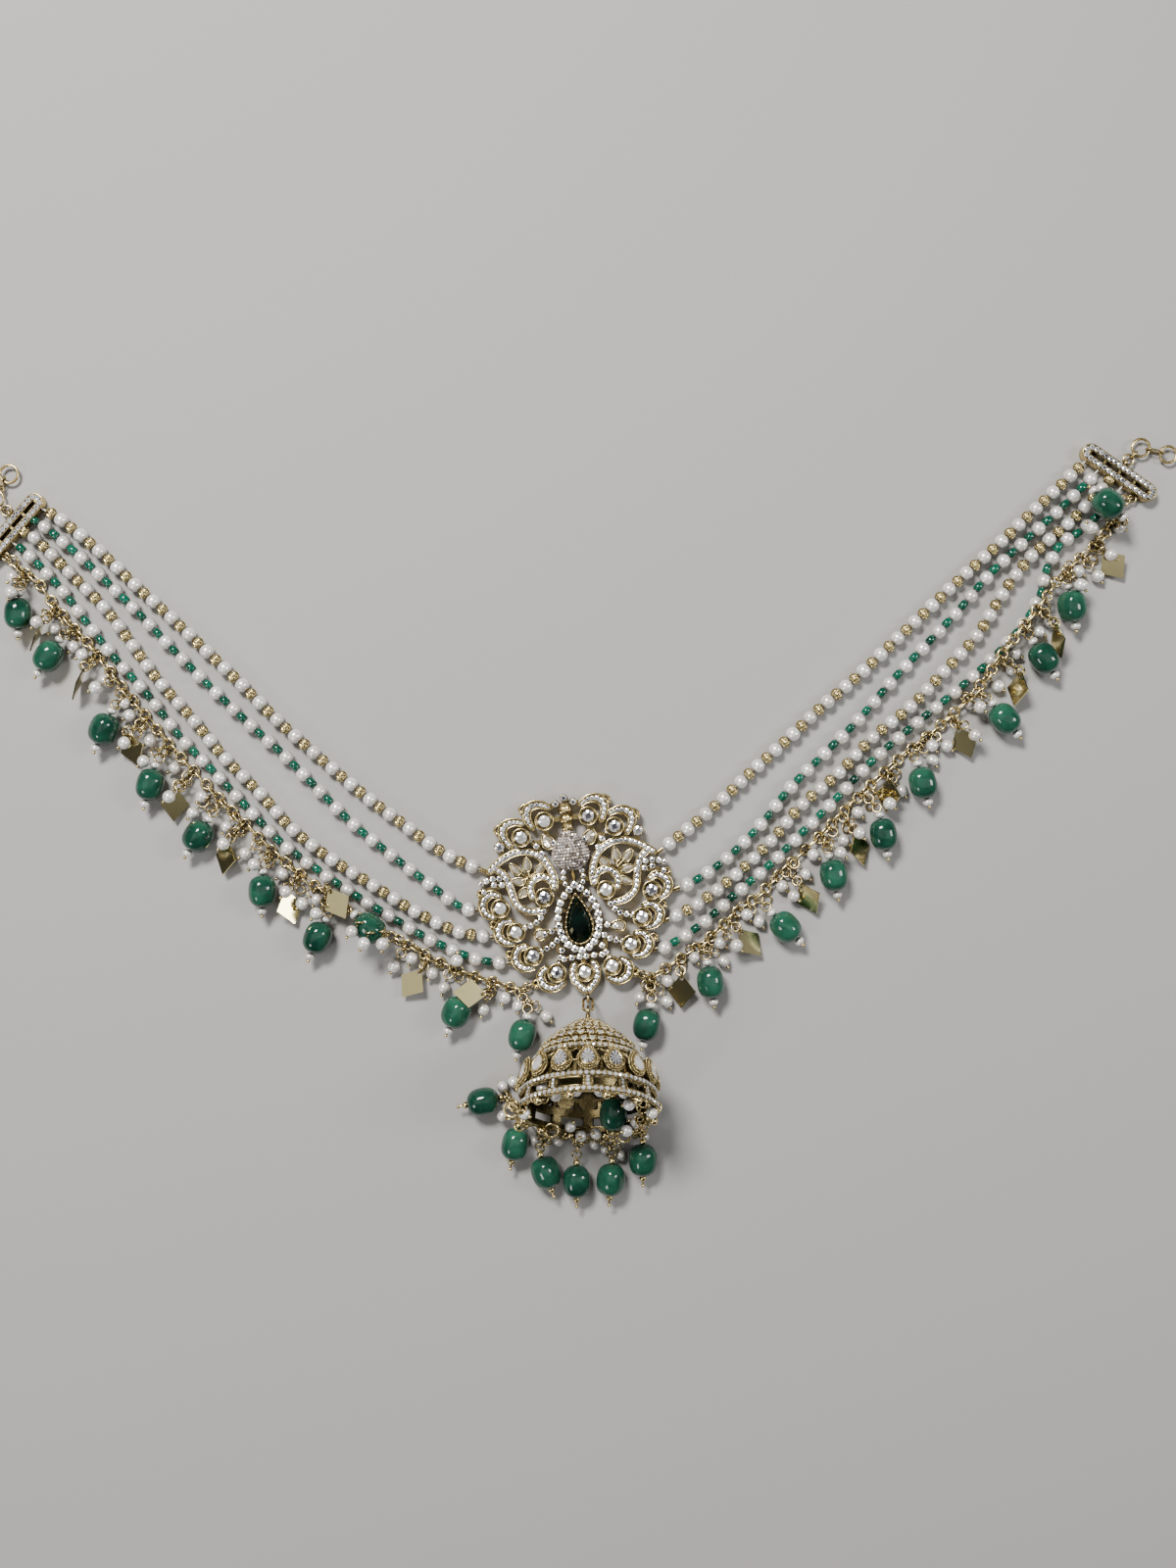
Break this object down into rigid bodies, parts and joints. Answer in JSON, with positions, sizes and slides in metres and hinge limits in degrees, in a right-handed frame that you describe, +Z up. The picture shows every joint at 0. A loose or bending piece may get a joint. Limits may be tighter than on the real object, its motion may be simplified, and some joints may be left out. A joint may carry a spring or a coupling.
{
  "type": "hair brooch",
  "caption": "Flat-lying bridal hair brooch: round openwork peacock plate, pearl strands to ringed end bars, a bead and plate fringe, and a domed bell drop.",
  "frame": {"origin": "on the surface that the brooch lies on, under the middle of its whole outline", "axes": "+X to the right end bar, +Y from the bell towards the peacock's head, +Z up out of the surface"},
  "size_m": [0.3376, 0.2174, 0.0384],
  "materials": {
    "antique_gold": "pale antique champagne gold, polished with dark recesses",
    "mirror_gold": "mirror polished pale gold plate",
    "clear_stone": "cut clear stone with a flat table",
    "dark_green_stone": "near-black green cut stone",
    "green_bead": "semi-translucent jade green, polished",
    "emerald_seed": "faceted translucent emerald seed bead",
    "pearl": "ivory-white pearl lustre",
    "thread": "fine pale thread"
  },
  "bodies": {
    "root": {"brooch_frame": "antique_gold", "back_pin": "antique_gold", "center_stone": "dark_green_stone", "brooch_stones": "clear_stone", "bell": "antique_gold", "bell_link": "antique_gold", "bell_strings": "antique_gold", "strand_left_1": "pearl", "strand_left_2": "pearl", "strand_left_3": "pearl", "strand_left_4": "pearl", "strand_right_1": "pearl", "strand_right_2": "pearl", "strand_right_3": "pearl", "strand_right_4": "pearl", "threads_left": "thread", "threads_right": "thread", "end_bar_left": "antique_gold", "end_bar_right": "antique_gold", "ring_left_inner": "antique_gold", "hook_left": "antique_gold", "link_left": "antique_gold", "ring_left_end": "antique_gold", "ring_right_inner": "antique_gold", "link_right_inner": "antique_gold", "ring_right_middle": "antique_gold", "link_right_outer": "antique_gold", "ring_right_end": "antique_gold", "chain_left": "antique_gold", "chain_right": "antique_gold", "lozenges_left": "mirror_gold", "lozenges_right": "mirror_gold", "bead_left_1": "green_bead", "bead_left_2": "green_bead", "bead_left_3": "green_bead", "bead_left_4": "green_bead", "bead_left_5": "green_bead", "bead_left_6": "green_bead", "bead_left_7": "green_bead", "bead_left_8": "green_bead", "bead_left_9": "green_bead", "bead_left_10": "green_bead", "bead_right_1": "green_bead", "bead_right_2": "green_bead", "bead_right_3": "green_bead", "bead_right_4": "green_bead", "bead_right_5": "green_bead", "bead_right_6": "green_bead", "bead_right_7": "green_bead", "bead_right_8": "green_bead", "bead_right_9": "green_bead", "bead_right_10": "green_bead", "bell_bead_1": "green_bead", "bell_bead_2": "green_bead", "bell_bead_3": "green_bead", "bell_bead_4": "green_bead", "bell_bead_5": "green_bead", "bell_bead_6": "green_bead", "bell_bead_7": "green_bead"}
  },
  "joints": []
}
